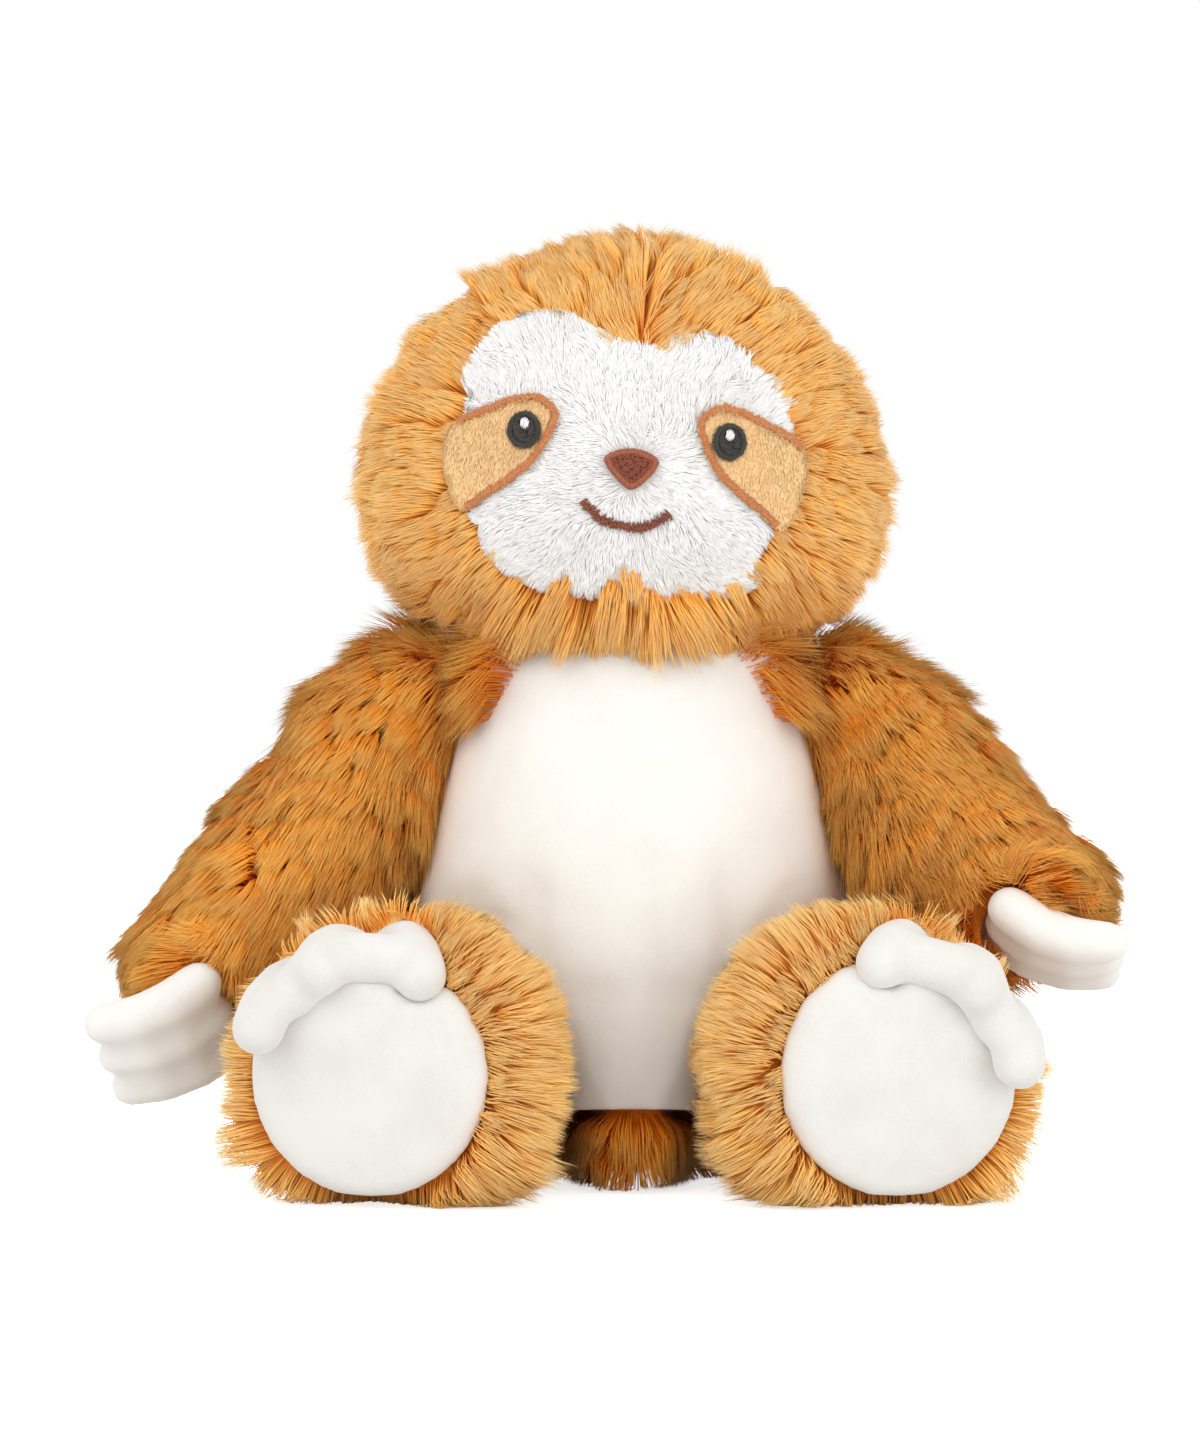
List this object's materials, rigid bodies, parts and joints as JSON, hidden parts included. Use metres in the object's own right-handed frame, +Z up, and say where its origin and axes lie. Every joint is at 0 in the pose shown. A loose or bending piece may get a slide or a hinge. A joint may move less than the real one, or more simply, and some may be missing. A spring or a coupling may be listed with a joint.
{
  "type": "plush toy",
  "caption": "Seated long-pile plush sloth with white face, tummy and soles; head turns and nods, limbs swing, soft claws bend.",
  "frame": {"origin": "middle of the flat seat, on the surface that the toy sits on", "axes": "+Z up; the face looks along -Y; the toy's own left hand is on +X"},
  "size_m": [0.2912, 0.1826, 0.2694],
  "materials": {
    "head_long_pile": "long glossy golden-tan pile in clumps",
    "leg_long_pile": "long glossy golden-tan pile, shorter round the sole",
    "body_long_pile": "long glossy orange-brown pile in clumps",
    "white_short_pile": "short brushed off-white pile",
    "white_velour": "smooth off-white velour",
    "patch_velour": "pale tan velour",
    "border_thread": "tan satin stitch",
    "black_thread": "off-black satin stitch",
    "white_thread": "white satin stitch",
    "brown_thread": "brown satin stitch",
    "label_tape": "blank woven tape",
    "stuffing": "loose polyester fibre",
    "bean_bag_cloth": "plain thin cloth"
  },
  "bodies": {
    "torso": {"tummy_panel": "white_velour", "back_panel_right": "body_long_pile", "back_panel_left": "body_long_pile", "seat_panel": "body_long_pile", "seat_bean_bag": "bean_bag_cloth", "body_stuffing": "stuffing", "care_label": "label_tape"},
    "neck": {"neck_stuffing": "stuffing"},
    "head": {"hood_panel_right": "head_long_pile", "hood_panel_left": "head_long_pile", "face_panel": "white_short_pile", "head_stuffing": "stuffing", "eye_patch_right": "patch_velour", "eye_patch_border_right": "border_thread", "pupil_right": "black_thread", "pupil_glint_right": "white_thread", "eye_patch_left": "patch_velour", "eye_patch_border_left": "border_thread", "pupil_left": "black_thread", "pupil_glint_left": "white_thread", "nose": "brown_thread", "mouth": "brown_thread"},
    "shoulder_right": {"shoulder_gusset_right": "body_long_pile"},
    "arm_right": {"arm_cover_right": "body_long_pile", "arm_stuffing_right": "stuffing"},
    "hand_claws_right": {"hand_claw_inner_right": "white_velour", "hand_claw_middle_right": "white_velour", "hand_claw_outer_right": "white_velour"},
    "leg_right": {"leg_cover_right": "leg_long_pile", "sole_panel_right": "white_velour", "leg_stuffing_right": "stuffing"},
    "toes_right": {"toe_inner_right": "white_velour", "toe_middle_right": "white_velour", "toe_outer_right": "white_velour"},
    "shoulder_left": {"shoulder_gusset_left": "body_long_pile"},
    "arm_left": {"arm_cover_left": "body_long_pile", "arm_stuffing_left": "stuffing"},
    "hand_claws_left": {"hand_claw_inner_left": "white_velour", "hand_claw_middle_left": "white_velour", "hand_claw_outer_left": "white_velour"},
    "leg_left": {"leg_cover_left": "leg_long_pile", "sole_panel_left": "white_velour", "leg_stuffing_left": "stuffing"},
    "toes_left": {"toe_inner_left": "white_velour", "toe_middle_left": "white_velour", "toe_outer_left": "white_velour"}
  },
  "joints": [
    {"name": "head_turn", "type": "hinge", "parent": "torso", "child": "neck", "pos_m": [-0.001, 0.004, 0.16], "axis": [0, 0, 1], "range_deg": [-25, 25]},
    {"name": "head_nod", "type": "hinge", "parent": "neck", "child": "head", "pos_m": [-0.001, 0.004, 0.16], "axis": [1, 0, 0], "range_deg": [-10, 10]},
    {"name": "arm_raise_right", "type": "hinge", "parent": "torso", "child": "shoulder_right", "pos_m": [-0.04416, 0.006, 0.14863], "axis": [0, 1, 0], "range_deg": [0, 12]},
    {"name": "arm_swing_right", "type": "hinge", "parent": "shoulder_right", "child": "arm_right", "pos_m": [-0.0475, 0.006, 0.134], "axis": [-0.9703, 0, 0.2419], "range_deg": [-10, 50]},
    {"name": "hand_claws_bend_right", "type": "hinge", "parent": "arm_right", "child": "hand_claws_right", "pos_m": [-0.12133, -0.0563, 0.05907], "axis": [-0.2259, -0.6963, 0.6813], "range_deg": [0, 30]},
    {"name": "leg_swing_right", "type": "hinge", "parent": "torso", "child": "leg_right", "pos_m": [-0.052, -0.016, 0.036], "axis": [-0.9821, 0.1883, 0], "range_deg": [-70, 10]},
    {"name": "toes_bend_right", "type": "hinge", "parent": "leg_right", "child": "toes_right", "pos_m": [-0.07835, -0.08439, 0.06934], "axis": [-0.9511, 0, -0.309], "range_deg": [0, 20]},
    {"name": "arm_raise_left", "type": "hinge", "parent": "torso", "child": "shoulder_left", "pos_m": [0.04416, 0.006, 0.14863], "axis": [0, -1, 0], "range_deg": [0, 12]},
    {"name": "arm_swing_left", "type": "hinge", "parent": "shoulder_left", "child": "arm_left", "pos_m": [0.0475, 0.006, 0.134], "axis": [-0.9703, 0, -0.2419], "range_deg": [-10, 50]},
    {"name": "hand_claws_bend_left", "type": "hinge", "parent": "arm_left", "child": "hand_claws_left", "pos_m": [0.10461, -0.06733, 0.08046], "axis": [0.0033, 0.9429, -0.3331], "range_deg": [0, 30]},
    {"name": "leg_swing_left", "type": "hinge", "parent": "torso", "child": "leg_left", "pos_m": [0.052, -0.016, 0.036], "axis": [-0.9821, -0.1883, 0], "range_deg": [-70, 10]},
    {"name": "toes_bend_left", "type": "hinge", "parent": "leg_left", "child": "toes_left", "pos_m": [0.08783, -0.08439, 0.06451], "axis": [-0.809, 0, 0.5878], "range_deg": [0, 20]}
  ]
}
